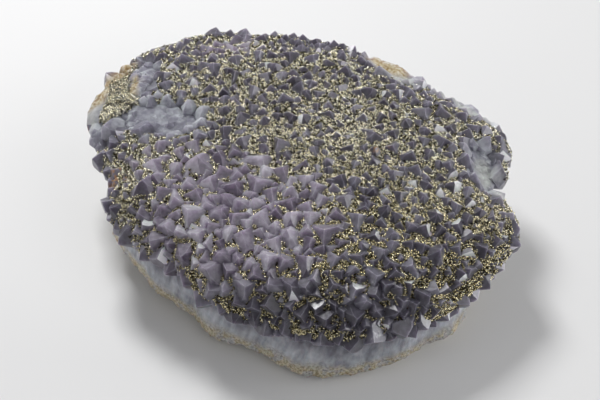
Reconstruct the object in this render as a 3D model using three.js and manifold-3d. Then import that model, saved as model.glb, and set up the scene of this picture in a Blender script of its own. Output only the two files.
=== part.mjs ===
// A plate of amethyst-grey quartz points, with a crust of pyrite in the grooves between them.
// Millimetres, +Z up. The origin is the middle of the flat foot that the plate rests on.
// The plate's long side runs along X, and its low, steep edge faces -Y.
import * as THREE from "three";
import { ConvexGeometry } from "three/addons/geometries/ConvexGeometry.js";
import { mergeVertices } from "three/addons/utils/BufferGeometryUtils.js";
import Module from "manifold-3d";

const wasm = await Module();
wasm.setup();

// Driving dimensions: the crystal-covered top
const CREST_HEIGHT = 54; // tips of the points at the middle of the plate
const BACK_RISE = 0.06; // the top climbs this much for each millimetre towards the back
const SIDE_FALL = 0.0011; // how fast the dome falls away along X, times x squared
const FRONT_FALL = 0.0016; // and towards the front, times y squared
const EDGE_START = 0.72; // share of the way to the rim at which the top begins to roll over
const EDGE_DROP = 7; // how far the roll-over drops at the left and right ends
const FRONT_DROP = 5; // and how much more it drops at the front, less at the back
const BED_DEPTH = 5.2; // the bed that the points grow from lies this far under their tips

// The slab's broken sides and its foot
const UNDERCUT_BEND = 0.62; // how soon an overhanging side turns inwards, 1 being a straight slope
const FOOT_INSET = 3; // the flat foot starts this far inside the lower edge
const FOOT_SLOPE = 1.2; // and further in where the lower edge is higher, by this much a millimetre
const SIDE_ROUGHNESS = 0.9; // columnar ribs on the broken side

// Quartz points: the slope of their end faces is real quartz's 51.8 degrees
const FACE_SLOPE = Math.tan(51.8 * Math.PI / 180);
const LARGE_POINT = 4.9; // distance from a point's axis to its prism faces
const MEDIUM_POINT = 3.9;
const SPREAD = 1.5; // a six-faced point is this much wider at its root than its size says
const THREE_FACED_WITHIN = 0.7; // share of the way to the rim up to which the points have three large faces
const CLOSENESS = 1.74; // two points' axes stay this many times their mean size apart
const LEAN = 0.42; // how far a point may lean away from the bed's own direction
const ROOT = 5; // a point reaches this far down into the bed
const LOWEST_POINTS = { start: 1, right: 0.12, rightTurn: 0.35, front: 0.16 }; // how far down the side
const OUTERMOST = 1.25; // and this is as far down the side as any is looked for, 1 being the rim
const BACK_RIM = { from: 0.84, turned: 0.55, share: 0.72 }; // points along the back rim are smaller
const LARGE_TRIES = 1400; // places looked at for a large point, and for a medium one
const MEDIUM_TRIES = 6000;
const FIRST_STANDING_OUT = 9000; // the points with places of their own are numbered from here
const TALLNESS = [0.98, 1.22]; // a point's height over the bed, against what its slope and size give
const FLATNESS = [0.88, 1.14]; // how much wider it is one way than the other
const TIP_GROWTH = 1.6; // a point that grows all round rises by this much more at its tip

// Pyrite crust in the grooves
const CRUST_LEVEL = 3.4; // height of the crust over the bed
const CENTRE_LEVEL = 4.2; // and of the one at the centre, where the points stand closest
const FIELD_LEVEL = 1.5; // and of the thick field on the left lobe, where no points stand
const CRUST_ROOT = 5; // how deep the crust is cut from, before the quartz is taken out of it
const CLEARANCE = 0.3; // gap between the crust and the quartz it sits on
const CRUST_WAVE = [0.82, 1.12]; // how far its outline waves in and out
const CRUST_UNEVEN = 0.5; // how much its top rises and falls
const CRUST_THIN_EDGE = 0.4; // and how much lower its top lies at the edge

// The rim of the crystal bed, seen from above, anticlockwise from the left
const RIM = [
  [-78, -5], [-76, -11], [-63, -24], [-50, -34], [-42, -38], [-38, -45], [-23, -53], [-5, -59],
  [18, -63], [30, -61], [41, -58], [52, -52], [64, -41], [75, -32], [83, -22], [86, -15],
  [81, -5], [77, 1], [81, 11], [84, 23], [82, 33], [76, 41], [66, 48], [54, 50.5],
  [48, 57.5], [41, 64.5], [33, 66.5], [25, 67], [17, 72], [0, 76], [-16, 77], [-28, 80],
  [-40, 80], [-50, 77], [-65, 74], [-73, 69], [-80, 63], [-88, 54], [-92, 42], [-88, 31],
  [-83.5, 21.5], [-78, 12], [-76, 2],
];

// The lower edge of the broken side, with its height: it hangs clear under the left and right lobes
const LOWER_EDGE = [
  [-79, -1, 14], [-75, -6, 10], [-65, -18, 7], [-60, -25, 5], [-52, -30, 5], [-44, -37, 5],
  [-37, -47, 5], [-24, -53, 5], [-12, -59, 4], [-1, -65, 3], [9, -67, 3], [19, -66, 3],
  [28, -63, 3], [37, -60, 4], [49, -53, 5], [61, -48, 6], [66, -41, 8], [69, -30, 11],
  [70, -15, 14], [69, 4, 16], [70, 22, 15], [62, 38, 13], [46, 58, 14], [22, 65, 11],
  [-10, 68, 10], [-35, 67, 12], [-60, 59, 17], [-76, 47, 21], [-80, 30, 22], [-77, 14, 19],
];

// Places with no points: smooth milky quartz, the left lobe with its pyrite field, the pale knob and ledge.
// Each is an oval: centre, half length, half width, turn in degrees, and how much its surface is raised.
const BARE_PLACES = [
  { name: "milky hollow", x: -57, y: 32, along: 17, across: 9, turn: -14, raise: 1.2 },
  { name: "milky shoulder", x: -67.5, y: 57, along: 12, across: 6, turn: 83, raise: 2.4 },
  { name: "pyrite field", x: -77, y: 46, along: 16, across: 11, turn: 58, raise: 1.6 },
  { name: "tan rim", x: -90, y: 46, along: 15, across: 7, turn: 66, raise: 0.8 },
  { name: "left lumps", x: -85, y: 27, along: 9, across: 7, turn: -55, raise: 0 },
  { name: "lobe foot", x: -70, y: 34, along: 8, across: 6, turn: 0, raise: 0 },
  { name: "milky end", x: 73, y: 9, along: 12.5, across: 7, turn: 92, raise: 1.2 },
  { name: "knob", x: 39, y: 61.5, along: 12, across: 7, turn: -28, raise: 1 },
  { name: "pale ledge", x: 68, y: 44.5, along: 17, across: 4.5, turn: -38, raise: 0.8 },
];

// Points that stand out on the plate, at their own places: x, y and the distance from axis to prism face
const STANDING_OUT = [
  [-24, 27, 4.9], [-40, 33, 4], [-10, 29, 3.9], [-28, 45, 3.5], [-46, 24, 3.2], [-13, 21, 3.1],
  [0, 34, 3.4], [-27, 6, 2.9], [-1, 10, 3.3], [-56, 45, 2.4], [-18, 54, 3], [-41, 5, 5.6],
  [-68, 18, 3.6], [16, 44, 4.1], [15, 24, 4.1], [37, 46, 4.2], [37, 13, 4.6], [11, 34, 4.2],
  [45, 18, 2.8], [40, 5, 3], [66, 33, 4.4], [50, 23, 4], [19, 11, 5], [-62, -5, 5.3],
  [-38, -9, 3.2], [-12, -11, 4.4], [-40, -28, 4.5], [-31, -33, 3.3], [-17, -37, 3.5], [-4, -32, 5.2],
  [2, -43, 5], [-66, -12, 4.4], [-45, -32, 5], [-34, -41, 5], [52, -21, 5.5], [69, -16, 5],
  [35, -30, 4.2], [41, -42, 5.2], [51, -36, 6], [60, -39, 4.8], [12, -50, 4.1], [20, -52, 4.3],
  [30, -38, 5], [10, -30, 6], [36, -50, 4.4], [49, -47, 4.6], [82, -12, 4.4], [83, -21, 4],
  [73, -28, 4.2],
];

// Where the crust is thick enough to be a piece of its own: centre, half width along X, half depth along Y
const CRUSTS = [
  { node: "pyrite_field_left", x: -76.5, y: 43.5, along: 9, across: 7.5, level: FIELD_LEVEL },
  { node: "pyrite_crust_back", x: -37, y: 50, along: 17, across: 12 },
  { node: "pyrite_crust_centre", x: 10, y: 19, along: 24, across: 12, level: CENTRE_LEVEL },
  { node: "pyrite_crust_right", x: 50, y: -4, along: 17, across: 14 },
  { node: "pyrite_crust_front", x: 27, y: -45, along: 20, across: 9 },
  { node: "pyrite_crust_corner", x: -50, y: -21, along: 15, across: 9 },
];

const smooth = (t) => t * t * (3 - 2 * t);
const between = (a, b, t) => a + (b - a) * t;

// A number from 0 to 1 that looks random and is the same each time, for item i and purpose k
function chance(i, k) {
  const s = Math.sin(i * 12.9898 + k * 78.233) * 43758.5453;
  return s - Math.floor(s);
}

// How far an outline reaches from the origin in one direction, and its third value there
function reach(outline, angle) {
  const full = 2 * Math.PI;
  for (let i = 0; i < outline.length; i++) {
    const a = outline[i];
    const b = outline[(i + 1) % outline.length];
    const start = Math.atan2(a[1], a[0]);
    const span = (Math.atan2(b[1], b[0]) - start + full) % full;
    const along = (angle - start + 2 * full) % full;
    if (along > span) continue;
    const slant = (b[1] - a[1]) * Math.cos(angle) - (b[0] - a[0]) * Math.sin(angle);
    const distance = (a[0] * b[1] - b[0] * a[1]) / slant;
    return [distance, between(a[2] ?? 0, b[2] ?? 0, along / span)];
  }
  throw new Error("an outline doesn't go all the way round");
}

// How deep a spot lies in a bare place: 1 at its centre, 0 at its edge, less outside
function insideOf(place, x, y) {
  const turn = place.turn * Math.PI / 180;
  const u = (x - place.x) * Math.cos(turn) + (y - place.y) * Math.sin(turn);
  const v = (y - place.y) * Math.cos(turn) - (x - place.x) * Math.sin(turn);
  return 1 - Math.hypot(u / place.along, v / place.across);
}

// Height of the crystal tips over a spot of the plan
function tipHeight(x, y) {
  const angle = Math.atan2(y, x);
  const share = Math.hypot(x, y) / reach(RIM, angle)[0];
  const rolled = Math.max(0, (share - EDGE_START) / (1 - EDGE_START));
  const drop = (EDGE_DROP - FRONT_DROP * Math.sin(angle)) * rolled * rolled;
  const front = Math.min(y, 0);
  return CREST_HEIGHT + BACK_RISE * y - SIDE_FALL * x * x - FRONT_FALL * front * front - drop;
}

// Height of the bed under them, raised where the quartz is bare
function bedHeight(x, y) {
  let height = tipHeight(x, y) - BED_DEPTH;
  for (const place of BARE_PLACES) {
    const inside = Math.min(1, Math.max(0, insideOf(place, x, y) * 2 + 0.4));
    height += place.raise * smooth(inside);
  }
  return height;
}

// A spot on the slab: v runs 0 to 1 over the bed, to 2 down the side, to 3 under to the flat foot
function slabPoint(angle, v, grow = 0) {
  const rim = reach(RIM, angle)[0];
  const [low, lowHeight] = reach(LOWER_EDGE, angle);
  let distance = rim * v;
  let height;
  if (v <= 1) {
    height = bedHeight(distance * Math.cos(angle), distance * Math.sin(angle)) + grow;
    distance += grow * v;
  } else if (v <= 2) {
    const rimHeight = bedHeight(rim * Math.cos(angle), rim * Math.sin(angle));
    const bend = low < rim ? UNDERCUT_BEND : 1;
    distance = between(rim, low, Math.pow(v - 1, bend)) + grow;
    height = between(rimHeight, lowHeight, v - 1) + grow * (2 - v);
  } else {
    distance = low - (FOOT_INSET + FOOT_SLOPE * lowHeight) * (v - 2) + grow;
    height = lowHeight * (3 - v);
  }
  return new THREE.Vector3(distance * Math.cos(angle), distance * Math.sin(angle), height);
}

// The direction that the slab's surface faces at a spot
function slabNormal(angle, v) {
  const step = 0.02;
  const outward = slabPoint(angle, v + step).sub(slabPoint(angle, v - step));
  const round = slabPoint(angle + step, v).sub(slabPoint(angle - step, v));
  return outward.cross(round).normalize();
}

// A closed geometry of three.js as a solid that can be cut and joined
function solidOf(geometry) {
  const bare = new THREE.BufferGeometry().setAttribute("position", geometry.getAttribute("position"));
  if (geometry.index) bare.setIndex(geometry.index);
  const merged = mergeVertices(bare, 1e-4);
  return new wasm.Manifold(new wasm.Mesh({
    numProp: 3,
    vertProperties: new Float32Array(merged.attributes.position.array),
    triVerts: new Uint32Array(merged.index.array),
  }));
}

// A closed solid between rings of points, from the middle of the top to the middle of the bottom
function solidOfRings(top, rings, bottom) {
  const count = rings[0].length;
  const points = [top, ...rings.flat(), bottom];
  const triangles = [];
  for (let j = 0; j < count; j++) {
    const next = (j + 1) % count;
    triangles.push(0, 1 + j, 1 + next);
    for (let i = 0; i + 1 < rings.length; i++) {
      const a = 1 + i * count;
      const b = a + count;
      triangles.push(a + j, b + j, b + next, a + j, b + next, a + next);
    }
    const last = 1 + (rings.length - 1) * count;
    triangles.push(last + j, points.length - 1, last + next);
  }
  const geometry = new THREE.BufferGeometry().setFromPoints(points).setIndex(triangles);
  return solidOf(geometry);
}

// The slab: bed, broken side with its ribs, and flat foot
function slab(grow = 0) {
  const STEPS = 54;
  const levels = [0.4, 0.7, 0.88, 1, 1.2, 1.5, 1.8, 2, 3];
  const rings = levels.map((v, i) => Array.from({ length: STEPS }, (_, j) => {
    const angle = -Math.PI + (2 * Math.PI * j) / STEPS;
    const point = slabPoint(angle, v, grow);
    if (v > 1 && v <= 2) {
      const rib = (chance(j, 3) + 0.5 * chance(j * levels.length + i, 4) - 0.75) * SIDE_ROUGHNESS;
      point.x += rib * Math.cos(angle);
      point.y += rib * Math.sin(angle);
    }
    return point;
  }));
  return solidOfRings(new THREE.Vector3(0, 0, bedHeight(0, 0) + grow), rings, new THREE.Vector3(0, 0, 0));
}

// One quartz point as a convex solid. In the middle of the plate it has three end faces, which run down
// under its neighbours. Nearer the rim it has six, on a six-sided prism.
function pointSolid({ base, axis, spin, size, tall, sides, flat }, grow = 0) {
  const top = tall + grow * TIP_GROWTH;
  const depth = sides === 3 ? top + ROOT : FACE_SLOPE * (size * SPREAD + grow);
  const far = depth / FACE_SLOPE / Math.cos(Math.PI / sides);
  const corners = [new THREE.Vector3(0, 0, top)];
  for (let k = 0; k < sides; k++) {
    const edge = (k * 2 * Math.PI) / sides;
    const x = far * Math.cos(edge) * flat;
    const y = (far * Math.sin(edge)) / flat;
    corners.push(new THREE.Vector3(x, y, top - depth));
    if (sides === 6) corners.push(new THREE.Vector3(x, y, -ROOT));
  }
  const turn = new THREE.Quaternion().setFromUnitVectors(new THREE.Vector3(0, 0, 1), axis);
  turn.multiply(new THREE.Quaternion().setFromAxisAngle(new THREE.Vector3(0, 0, 1), spin));
  const place = new THREE.Matrix4().compose(base, turn, new THREE.Vector3(1, 1, 1));
  return solidOf(new ConvexGeometry(corners).applyMatrix4(place));
}

// The point that grows at a spot of the slab
function pointAt(angle, v, size, number) {
  const axis = slabNormal(angle, v);
  axis.x += (chance(number, 5) - 0.5) * LEAN;
  axis.y += (chance(number, 6) - 0.5) * LEAN;
  axis.normalize();
  return {
    base: slabPoint(angle, v),
    axis,
    spin: chance(number, 7) * 2 * Math.PI,
    size,
    tall: FACE_SLOPE * size * between(...TALLNESS, chance(number, 8)),
    sides: v < THREE_FACED_WITHIN ? 3 : 6,
    flat: between(...FLATNESS, chance(number, 10)),
  };
}

// How far down the side points still grow: well under the right lobe, and a little along the front
function lowestPoint(angle) {
  const { start, right, rightTurn, front } = LOWEST_POINTS;
  const towardsRight = Math.max(0, Math.cos(angle + rightTurn));
  const towardsFront = Math.max(0, -Math.sin(angle));
  return start + right * towardsRight ** 6 + front * towardsFront;
}

// A point's size where it grows: smaller along the back rim
function sizeAt(angle, v, size) {
  const onBackRim = v > BACK_RIM.from && Math.sin(angle) > BACK_RIM.turned;
  return onBackRim ? size * BACK_RIM.share : size;
}

// All the points: the ones that stand out first, then large and medium ones wherever there is room
function allPoints() {
  const points = [];
  const roomFor = (base, size) => points.every(
    (other) => other.base.distanceTo(base) > (CLOSENESS * (other.size + size)) / 2,
  );
  for (const [x, y, size] of STANDING_OUT) {
    const angle = Math.atan2(y, x);
    const v = Math.hypot(x, y) / reach(RIM, angle)[0];
    points.push(pointAt(angle, v, size, FIRST_STANDING_OUT + points.length));
  }
  const sizes = [[LARGE_POINT, LARGE_TRIES], [MEDIUM_POINT, MEDIUM_TRIES]];
  let number = 0;
  for (const [fullSize, tries] of sizes) {
    for (let i = 0; i < tries; i++) {
      number += 1;
      const angle = (chance(number, 1) * 2 - 1) * Math.PI;
      const v = Math.sqrt(chance(number, 2)) * OUTERMOST;
      if (v > lowestPoint(angle)) continue;
      const base = slabPoint(angle, v);
      if (BARE_PLACES.some((place) => insideOf(place, base.x, base.y) > 0)) continue;
      const size = sizeAt(angle, v, fullSize);
      if (roomFor(base, size)) points.push(pointAt(angle, v, size, number));
    }
  }
  return points;
}

// A crust: a slice over the bed, with the quartz taken out of it, kept where it hangs together
function crustSolid({ node, x, y, along, across, level = CRUST_LEVEL }, points) {
  const STEPS = 16;
  const NEIGHBOURHOOD = 12; // how far past the crust a point can still touch it
  const seed = node.length;
  const levelled = (px, py, lift) => new THREE.Vector3(px, py, bedHeight(px, py) + lift);
  const ring = (share, lift) => Array.from({ length: STEPS }, (_, j) => {
    const angle = (2 * Math.PI * j) / STEPS;
    const wave = share * between(...CRUST_WAVE, chance(j, seed));
    const uneven = (chance(j, seed + 1) - 0.5) * CRUST_UNEVEN;
    return levelled(x + along * wave * Math.cos(angle), y + across * wave * Math.sin(angle), lift + uneven);
  });
  const rings = [ring(0.4, level), ring(0.75, level), ring(1, level - CRUST_THIN_EDGE), ring(1, -CRUST_ROOT)];
  const slice = solidOfRings(levelled(x, y, level), rings, levelled(x, y, -CRUST_ROOT));
  const reachOut = Math.max(along, across) + NEIGHBOURHOOD;
  const near = points.filter((p) => Math.hypot(p.base.x - x, p.base.y - y) < reachOut);
  const quartz = wasm.Manifold.union([slab(CLEARANCE), ...near.map((p) => pointSolid(p, CLEARANCE))]);
  const pieces = slice.subtract(quartz).decompose();
  return pieces.reduce((most, piece) => (piece.volume() > most.volume() ? piece : most));
}

// A named mesh of a solid
function meshOf(name, solid, material) {
  const { vertProperties, numProp, triVerts } = solid.getMesh();
  const points = [];
  for (let i = 0; i < vertProperties.length; i += numProp) {
    points.push(new THREE.Vector3(vertProperties[i], vertProperties[i + 1], vertProperties[i + 2]));
  }
  const geometry = new THREE.BufferGeometry().setFromPoints(points).setIndex([...triVerts]);
  geometry.computeVertexNormals();
  const mesh = new THREE.Mesh(geometry, material);
  mesh.name = name;
  return mesh;
}

const quartzMaterial = new THREE.MeshStandardMaterial({ color: 0x86838f, roughness: 0.32, metalness: 0 });
const pyriteMaterial = new THREE.MeshStandardMaterial({ color: 0xb9a76b, roughness: 0.34, metalness: 1 });

const plate = new THREE.Group();
const points = allPoints();
const quartz = wasm.Manifold.union([slab(), ...points.map((point) => pointSolid(point))]);
plate.add(meshOf("quartz", quartz, quartzMaterial));
for (const crust of CRUSTS) {
  plate.add(meshOf(crust.node, crustSolid(crust, points), pyriteMaterial));
}

export default plate;
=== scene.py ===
"""A plate of grey-violet quartz points with pyrite in the grooves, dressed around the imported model.

Lengths are in millimetres in the row frame until a mesh is made, which is in metres.
"""
import itertools
import math

import bpy
import numpy as np
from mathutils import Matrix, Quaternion, Vector
from mathutils.bvhtree import BVHTree
from mathutils.kdtree import KDTree


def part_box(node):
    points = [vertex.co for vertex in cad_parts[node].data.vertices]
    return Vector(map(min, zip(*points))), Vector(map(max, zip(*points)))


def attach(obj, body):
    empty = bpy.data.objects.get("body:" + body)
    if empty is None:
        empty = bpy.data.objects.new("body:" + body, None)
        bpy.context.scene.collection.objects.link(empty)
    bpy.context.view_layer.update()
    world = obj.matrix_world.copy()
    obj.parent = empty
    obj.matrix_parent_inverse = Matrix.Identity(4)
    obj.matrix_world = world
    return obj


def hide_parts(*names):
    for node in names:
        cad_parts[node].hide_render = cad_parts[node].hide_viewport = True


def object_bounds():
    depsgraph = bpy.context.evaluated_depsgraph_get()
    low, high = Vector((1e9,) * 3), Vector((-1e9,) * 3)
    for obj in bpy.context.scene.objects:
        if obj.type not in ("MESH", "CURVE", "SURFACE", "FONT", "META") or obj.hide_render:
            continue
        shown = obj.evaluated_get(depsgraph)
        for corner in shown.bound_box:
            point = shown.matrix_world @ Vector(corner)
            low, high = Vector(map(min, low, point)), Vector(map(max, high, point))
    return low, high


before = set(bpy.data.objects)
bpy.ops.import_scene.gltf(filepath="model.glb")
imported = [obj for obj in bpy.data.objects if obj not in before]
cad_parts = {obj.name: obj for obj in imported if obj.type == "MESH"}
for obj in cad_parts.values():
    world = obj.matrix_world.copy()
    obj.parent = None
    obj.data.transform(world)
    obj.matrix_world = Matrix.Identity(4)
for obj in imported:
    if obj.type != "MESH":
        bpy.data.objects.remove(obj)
CAD_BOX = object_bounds()

MM = 0.001
ROOT_BODY = "root"

# The photograph's view: degrees above the horizon, a long lens on a full frame, and the distance
CAMERA_ELEVATION = 48
CAMERA_LENS = 100
CAMERA_SENSOR = 36
CAMERA_DISTANCE = 692
CAMERA_TARGET = (-0.8, 8, 25)

# The crystal-covered top, as in the solid model
CREST_HEIGHT = 54
BACK_RISE = 0.06
SIDE_FALL = 0.0011
FRONT_FALL = 0.0016
EDGE_START = 0.72
EDGE_DROP = 7
FRONT_DROP = 5
BED_DEPTH = 5.2

# The slab's broken sides and its foot
UNDERCUT_BEND = 0.62
FOOT_INSET = 3
FOOT_SLOPE = 1.2

# Quartz points of the solid model
FACE_SLOPE = math.tan(math.radians(51.8))
LARGE_POINT = 4.9
MEDIUM_POINT = 3.9
THREE_FACED_WITHIN = 0.7
CLOSENESS = 1.74
LEAN = 0.42
ROOT = 5
LOWEST_POINTS = {"start": 1, "right": 0.12, "right_turn": 0.35, "front": 0.16}
OUTERMOST = 1.25
BACK_RIM = {"from": 0.84, "turned": 0.55, "share": 0.72}
LARGE_TRIES = 1400
MEDIUM_TRIES = 6000
FIRST_STANDING_OUT = 9000

# Where the first face of a point with so many faces looks, in degrees, as in the solid model
FIRST_FACE = {3: 60, 6: 30}

# Small points between them, which only this model has: their sizes with the places tried for each, how close
# they may come to others, and their first number
FILL_SIZES = [(4.0, 7000), (3.2, 9000), (2.5, 14000), (1.8, 12000)]
FILL_CLOSENESS = 1.02
FILL_NUMBER = 20000

# Blunt lumps on the milky quartz, in the same way, with how steep they are and the bare places they grow in
LUMP_SIZES = [(4.6, 900), (3.4, 2500), (2.4, 5000)]
LUMP_CLOSENESS = 0.95
LUMP_NUMBER = 100000
LUMP_STEEP = 0.34
LUMPY_PLACES = ("milky hollow", "milky shoulder", "left lumps", "lobe foot", "milky end", "pale ledge")

# How tall a point of each kind is, as a share of what its size and slope give
TALL = {"solid": (0.98, 1.22), "small": (0.95, 1.35), "lump": (0.35, 0.75)}

# The form of a point: prism width as a share of its size, in the pyrite and in the violet part, how flat it
# is, how uneven its end faces and its prism are, and how much further out every other end face lies
POINT_WIDTH = (1.04, 1.42)
FLATTENED = (0.88, 1.14)
UNEVEN_FACES = 0.12
UNEVEN_PRISM = (0.85, 1.12)
SMALLER_FACES = (0.05, 0.42)

# Corners of a point nearer to each other than this are one
CORNER_GAP = 0.03

# What counts as parallel planes, as inside a plane and as on it
PARALLEL = 1e-6
INSIDE = 1e-7
ON_PLANE = 1e-6

# Each face carries a code: the number of its point times this step, plus the number of its plane
OWNER_STEP = 16

# Room between the boxes of two points that are joined to the slab in one go
BATCH_ROOM = 0.05

# Tones of the points: how much of it each face has of its own, the share of faces painted almost white as
# glints (painted highlights), with their tone and their least and largest area, and the tone of the bed
FACE_TONE = 0.35
PAINTED_GLINT_SHARE = 0.035
PAINTED_GLINT_TONE = 1.4
PAINTED_GLINT_AREA = (5, 20)
BED_TONE = 0.5

# How far in from a crystal's edge its rounded normal reaches, in millimetres; it sets the painted edge
# highlights
EDGE_ROUNDING = 0.38

# Painted highlights on the crystals' edges: how far the normal has to turn for them, how strong they are, and
# their colour
EDGE_HIGHLIGHT_TURN = (0.01, 0.14)
EDGE_HIGHLIGHT_AMOUNT = 0.45
EDGE_HIGHLIGHT_COLOUR = (0.42, 0.41, 0.48)

# Painted shade between the points, on the bed deep in the grooves: how much darker it is, and its colour
BED_SHADE = 0.7
BED_SHADE_COLOUR = (0.05, 0.046, 0.06)

# Rusty specks: their colour, and from where to where the fine noise lets them show
RUST_COLOUR = (0.36, 0.2, 0.07)
RUSTY_SPECKS = (0.44, 0.58)

# The fine slab: steps round it, and rings on its bed, side and underside
SLAB_STEPS = 420
BED_RINGS = 24
SIDE_RINGS = 26
UNDER_RINGS = 6

# Levels of the slab: that of the innermost ring, the first and last with a normal of their own, and the one
# below which the side's material starts
BED_START = 0.06
NORMAL_LEVELS = (0.05, 2.9)
BELOW_RIM = 1.001

# Relief of the broken side. Columns of two widths run down it and slant a little. Then there are broad dents,
# chips, and grit in a band along the lower edge. It sets in below the rim and fades out under the foot
MEAN_RADIUS = 66
COLUMN_WIDTHS = (2.2, 0.9)
COLUMN_DEPTH = 0.7
COLUMN_SLANT = 0.22
COLUMN_STRETCH = 0.1
DENT_WIDTH = 17
DENT_DEPTH = 2.2
CHIP_WIDTH = 5
CHIP_RARENESS = 0.6
GRIT_WIDTH = 0.8
GRIT_DEPTH = 1.1
GRIT_BAND = 1.6
RELIEF_STARTS = 6
RELIEF_FADES = 2

# Lumps on the bare quartz: two widths, and their depth
BARE_LUMP_WIDTHS = (4.5, 1.8)
BARE_LUMPS = 2.1

# The streaks on the broken side: how much they are squeezed, and how far they lean from upright, in degrees
SIDE_STRETCH = (1, 1, 0.16)
SIDE_SLANT = (8, 14, 0)

# From where to where the side turns from violet to bluish white, and where the tan foot sets in. Both are
# counted as how far down a spot is, plus some noise
SIDE_PALE = (1.35, 1.85)
SIDE_FOOT = (1.99, 2.21)

# Where the flecks turn the tan of the foot grey
FOOT_GREY = (0.47, 0.6)

# Pyrite grains. They fill the grooves up to a level, which is counted from the mean height of the quartz
# round about. The level differs in patches of some sizes, by some depth, and drops away past the rim
PYRITE_SEED = 7
PYRITE_TRIES = 560000
PYRITE_LEVEL = -0.12
PYRITE_PATCHES = [(10, 1.4), (3.4, 1)]
PYRITE_HIGHEST = 1.3
PYRITE_LAYER = 0.5
PYRITE_RAGGED = 0.16
NEIGHBOURHOOD = 2.6
PYRITE_EDGE = 1.08
PYRITE_EDGE_WIDTH = 0.12
PYRITE_EDGE_DROP = 5
GRAIN_SIZES = (0.5, 0.9)
GRAIN_STRETCH = (0.75, 1.15)
FACET_TONE = 0.25

# The pyrite is a deeper gold at the front: its tint there, and where the tint fades away towards the back
PYRITE_GOLD = (1, 0.95, 0.8)
GOLD_FADES = (-50, 20)

# A grain of size 1
OCTAHEDRON = np.array([(1, 0, 0), (-1, 0, 0), (0, 1, 0), (0, -1, 0), (0, 0, 1), (0, 0, -1)], float) / 2
OCTAHEDRON_FACES = np.array([
    (0, 2, 4), (2, 1, 4), (1, 3, 4), (3, 0, 4), (2, 0, 5), (1, 2, 5), (3, 1, 5), (0, 3, 5),
])

# How far along a line from above each grain's spot the quartz is looked for
PROBE_HEIGHT = 9
PROBE_LENGTH = 14

# The rim of the crystal bed, seen from above, anticlockwise from the left
RIM = [
    (-78, -5), (-76, -11), (-63, -24), (-50, -34), (-42, -38), (-38, -45), (-23, -53), (-5, -59),
    (18, -63), (30, -61), (41, -58), (52, -52), (64, -41), (75, -32), (83, -22), (86, -15),
    (81, -5), (77, 1), (81, 11), (84, 23), (82, 33), (76, 41), (66, 48), (54, 50.5),
    (48, 57.5), (41, 64.5), (33, 66.5), (25, 67), (17, 72), (0, 76), (-16, 77), (-28, 80),
    (-40, 80), (-50, 77), (-65, 74), (-73, 69), (-80, 63), (-88, 54), (-92, 42), (-88, 31),
    (-83.5, 21.5), (-78, 12), (-76, 2),
]

# The lower edge of the broken side, with its height
LOWER_EDGE = [
    (-79, -1, 14), (-75, -6, 10), (-65, -18, 7), (-60, -25, 5), (-52, -30, 5), (-44, -37, 5),
    (-37, -47, 5), (-24, -53, 5), (-12, -59, 4), (-1, -65, 3), (9, -67, 3), (19, -66, 3),
    (28, -63, 3), (37, -60, 4), (49, -53, 5), (61, -48, 6), (66, -41, 8), (69, -30, 11),
    (70, -15, 14), (69, 4, 16), (70, 22, 15), (62, 38, 13), (46, 58, 14), (22, 65, 11),
    (-10, 68, 10), (-35, 67, 12), (-60, 59, 17), (-76, 47, 21), (-80, 30, 22), (-77, 14, 19),
]

# Places with no points: centre, half length, half width, turn in degrees, and how much the surface is raised
BARE_PLACES = {
    "milky hollow": (-57, 32, 17, 9, -14, 1.2),
    "milky shoulder": (-67.5, 57, 12, 6, 83, 2.4),
    "pyrite field": (-77, 46, 16, 11, 58, 1.6),
    "tan rim": (-90, 46, 15, 7, 66, 0.8),
    "left lumps": (-85, 27, 9, 7, -55, 0),
    "lobe foot": (-70, 34, 8, 6, 0, 0),
    "milky end": (73, 9, 12.5, 7, 92, 1.2),
    "knob": (39, 61.5, 12, 7, -28, 1),
    "pale ledge": (68, 44.5, 17, 4.5, -38, 0.8),
}

# Where the quartz is violet, milky, cream, tan or rusty. Each place is an oval: centre, half length, half
# width, and turn in degrees
STAINS = {
    "violet": [(-24, -20, 42, 30, -18), (-52, 6, 20, 12, -20), (-30, 70, 14, 6, 0)],
    "milky": [
        (-57, 32, 22, 15, -14), (-68, 57, 11.5, 6.5, 83), (-82, 44, 18, 16, 60), (73, 9, 14, 8, 92),
        (39, 61.5, 14, 9, -30), (67, 44.5, 19, 7, -38),
    ],
    "cream": [
        (-88, 42, 7, 4.5, 70), (39, 56, 10, 4.5, -40), (68, 42, 17, 3, -38), (80, -3, 4, 3, 60),
        (74, 8, 7, 4, 92),
    ],
    "tan": [(-87, 52, 9, 4.5, 55), (-78, 62, 9, 4, 40), (37, 62, 10, 5.5, -24), (-71, 49, 7, 2, 80)],
    "rust": [(31.6, 11, 3, 2, 40), (-75, 5.5, 5, 3.5, 60), (-71, 3, 3, 2, 0)],
}

# How sharp the edges of such ovals are: on the bed, on the bare lumps, in the stains and in the pyrite
BED_SHARPNESS = 2
BARE_SHARPNESS = 3
STAIN_SHARPNESS = 1.8
PYRITE_SHARPNESS = 2.4

# Where the pyrite is thin or missing, and where it is thick: an oval, and how much it changes the level
PYRITE_POOR = [
    (-24, -20, 40, 28, -18, 1.0),
    (-57, 32, 16, 8, -14, 7),
    (-67, 57, 12, 5, 83, 8),
    (-90, 43, 18, 6, 72, 12),
    (-84, 30, 8, 5, -50, 2),
    (-70, 33, 8, 5, 0, 4),
    (73, 9, 12, 6.5, 92, 7),
    (39, 61.5, 12, 7, -28, 8),
    (67, 44.5, 16, 4, -38, 7),
    (15, -56, 60, 9, -4, 0.7),
    (-79, 62, 9, 4, 40, 6),
]
PYRITE_RICH = [
    (-77, 46, 14, 8.5, 80, 2.2),
    (-38, 48, 22, 14, -10, 0.3),
    (22, 22, 40, 26, -10, 0.3),
]

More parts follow.
